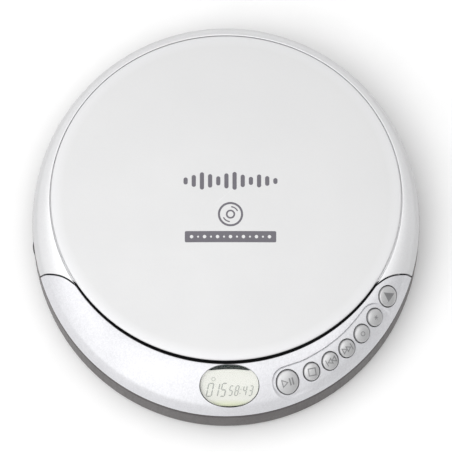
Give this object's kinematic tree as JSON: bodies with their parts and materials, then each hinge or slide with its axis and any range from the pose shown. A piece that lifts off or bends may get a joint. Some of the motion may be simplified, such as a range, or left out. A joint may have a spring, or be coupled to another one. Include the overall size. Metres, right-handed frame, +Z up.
{
  "type": "portable cd player",
  "caption": "Round portable disc player with a hinged lid, front key row, small display window, disc drive and battery bay.",
  "frame": {"origin": "on the table, under the middle of the body", "axes": "+Z up, +Y towards the lid hinge at the back, +X to the right seen from the front"},
  "size_m": [0.138, 0.144, 0.028],
  "materials": {
    "black_plastic": "moulded, fine texture",
    "case_grey": "dark warm grey metallic paint, satin",
    "chip_black": "moulded chip package",
    "circuit_board": "green lacquered circuit board",
    "contact_steel": "nickel-plated spring steel",
    "dial_black": "knurled edge",
    "display_glass": "reflective liquid crystal cell, pale green grey",
    "grey_plastic": "moulded, fine texture",
    "hub_black": "moulded, fine texture",
    "key_mark": "printed grey ink, satin",
    "key_silver": "satin silver metallic paint",
    "lens_glass": "coated lens",
    "lid_silver": "satin silver metallic paint on moulded plastic",
    "liner_black": "fine matt texture",
    "motor_steel": "drawn steel can",
    "panel_silver": "satin silver metallic paint on moulded plastic",
    "plate_pearl": "pale pearl grey, semi-matt, softly rounded edge",
    "print_grey": "printed grey ink, satin",
    "rubber": "matt rubber",
    "segment_ink": "grey display segments",
    "socket_black": "moulded socket",
    "steel": "turned steel",
    "well_black": "fine matt texture",
    "white_gear": "natural acetal",
    "window_clear": "clear moulded window, polished"
  },
  "bodies": {
    "base": {"base_case": "case_grey", "battery_bridge": "contact_steel", "battery_contact": "contact_steel", "battery_spring": "contact_steel", "case_screw_1": "steel", "case_screw_2": "steel", "case_screw_3": "steel", "damper_1": "rubber", "damper_2": "rubber", "damper_3": "rubber", "damper_4": "rubber", "dc_jack": "socket_black", "decoder_chip": "chip_black", "disc_tray": "well_black", "display_frame": "black_plastic", "display_lens": "window_clear", "display_panel": "display_glass", "foot_1": "rubber", "foot_2": "rubber", "foot_3": "rubber", "foot_4": "rubber", "front_panel": "panel_silver", "guide_rod_front": "steel", "guide_rod_rear": "steel", "headphone_jack": "socket_black", "hinge_rod": "steel", "key_board": "circuit_board", "key_membrane": "rubber", "latch_spring": "steel", "lid_spring_left": "steel", "lid_spring_right": "steel", "main_board": "circuit_board", "mech_chassis": "grey_plastic", "servo_chip": "chip_black", "sled_motor": "motor_steel", "spindle_motor": "motor_steel", "volume_pot": "grey_plastic"},
    "lid": {"lid_shell": "lid_silver", "lid_plate": "plate_pearl", "lid_liner": "liner_black"},
    "door": {"battery_door": "case_grey"},
    "spindle": {"turntable": "hub_black", "spindle_shaft": "steel"},
    "sled": {"laser_sled": "black_plastic"},
    "lens": {"lens_holder": "black_plastic", "pickup_lens": "lens_glass"},
    "gear": {"sled_gear": "white_gear"},
    "pinion": {"motor_pinion": "white_gear"},
    "dial": {"volume_dial": "dial_black"},
    "latch": {"latch_slider": "grey_plastic"},
    "play_pause_key": {"play_pause_button": "key_silver"},
    "stop_key": {"stop_button": "key_silver"},
    "previous_key": {"previous_button": "key_silver"},
    "next_key": {"next_button": "key_silver"},
    "mode_key": {"mode_button": "key_silver"},
    "sound_key": {"sound_button": "key_silver"},
    "open_key": {"open_button": "key_silver"},
    "ball_1": {"clamp_ball_1": "steel"},
    "ball_2": {"clamp_ball_2": "steel"},
    "ball_3": {"clamp_ball_3": "steel"}
  },
  "joints": [
    {"name": "lid_hinge", "type": "hinge", "parent": "base", "child": "lid", "pos_m": [0, 0.068, 0.0116], "axis": [-1, 0, 0], "range_deg": [0, 75]},
    {"name": "door_hinge", "type": "hinge", "parent": "base", "child": "door", "pos_m": [0, -0.031, 0.0019], "axis": [1, 0, 0], "range_deg": [0, 100]},
    {"name": "volume_turn", "type": "hinge", "parent": "base", "child": "dial", "pos_m": [-0.0616, -0.008, 0.0114], "axis": [0, 0, 1], "range_deg": [0, 300]},
    {"name": "spindle_spin", "type": "hinge", "parent": "base", "child": "spindle", "pos_m": [0, 0.006, 0.0202], "axis": [0, 0, 1], "continuous": true},
    {"name": "sled_slide", "type": "slide", "parent": "base", "child": "sled", "axis": [1, 0, 0], "range_m": [0, 0.03304]},
    {"name": "lens_focus", "type": "slide", "parent": "sled", "child": "lens", "axis": [0, 0, 1], "range_m": [-0.0004, 0.0004], "stiffness_N_per_m": 60},
    {"name": "gear_turn", "type": "hinge", "parent": "base", "child": "gear", "pos_m": [0.027, -0.0144, 0.008], "axis": [0, 0, 1], "range_deg": [-630.5, 0]},
    {"name": "pinion_turn", "type": "hinge", "parent": "base", "child": "pinion", "pos_m": [0.0346, -0.0203, 0.0052], "axis": [0, 0, 1], "range_deg": [0, 3547]},
    {"name": "play_pause_press", "type": "slide", "parent": "base", "child": "play_pause_key", "axis": [-0.125, 0.356, -0.9261], "range_m": [0, 0.0005], "stiffness_N_per_m": 600},
    {"name": "stop_press", "type": "slide", "parent": "base", "child": "stop_key", "axis": [-0.181, 0.3471, -0.9202], "range_m": [0, 0.0005], "stiffness_N_per_m": 600},
    {"name": "previous_press", "type": "slide", "parent": "base", "child": "previous_key", "axis": [-0.2311, 0.3411, -0.9112], "range_m": [0, 0.0005], "stiffness_N_per_m": 600},
    {"name": "next_press", "type": "slide", "parent": "base", "child": "next_key", "axis": [-0.2841, 0.3301, -0.9002], "range_m": [0, 0.0005], "stiffness_N_per_m": 600},
    {"name": "mode_press", "type": "slide", "parent": "base", "child": "mode_key", "axis": [-0.3329, 0.3099, -0.8906], "range_m": [0, 0.0005], "stiffness_N_per_m": 600},
    {"name": "sound_press", "type": "slide", "parent": "base", "child": "sound_key", "axis": [-0.382, 0.285, -0.8791], "range_m": [0, 0.0005], "stiffness_N_per_m": 600},
    {"name": "open_press", "type": "slide", "parent": "base", "child": "open_key", "axis": [-0.4399, 0.2459, -0.8637], "range_m": [0, 0.0008], "stiffness_N_per_m": 600},
    {"name": "latch_slide", "type": "slide", "parent": "base", "child": "latch", "axis": [-0.53, -0.848, 0], "range_m": [0, 0.0015]},
    {"name": "ball_1_press", "type": "slide", "parent": "spindle", "child": "ball_1", "axis": [0, -1, 0], "range_m": [0, 0.0006], "stiffness_N_per_m": 300},
    {"name": "ball_2_press", "type": "slide", "parent": "spindle", "child": "ball_2", "axis": [0.866, 0.5, 0], "range_m": [0, 0.0006], "stiffness_N_per_m": 300},
    {"name": "ball_3_press", "type": "slide", "parent": "spindle", "child": "ball_3", "axis": [-0.866, 0.5, 0], "range_m": [0, 0.0006], "stiffness_N_per_m": 300}
  ],
  "couplings": [
    {"joint": "sled_slide", "follows": "gear_turn", "m_per_rad": -0.003},
    {"joint": "pinion_turn", "follows": "gear_turn", "ratio": -5.625},
    {"joint": "latch_slide", "follows": "open_press", "ratio": 1.875}
  ]
}
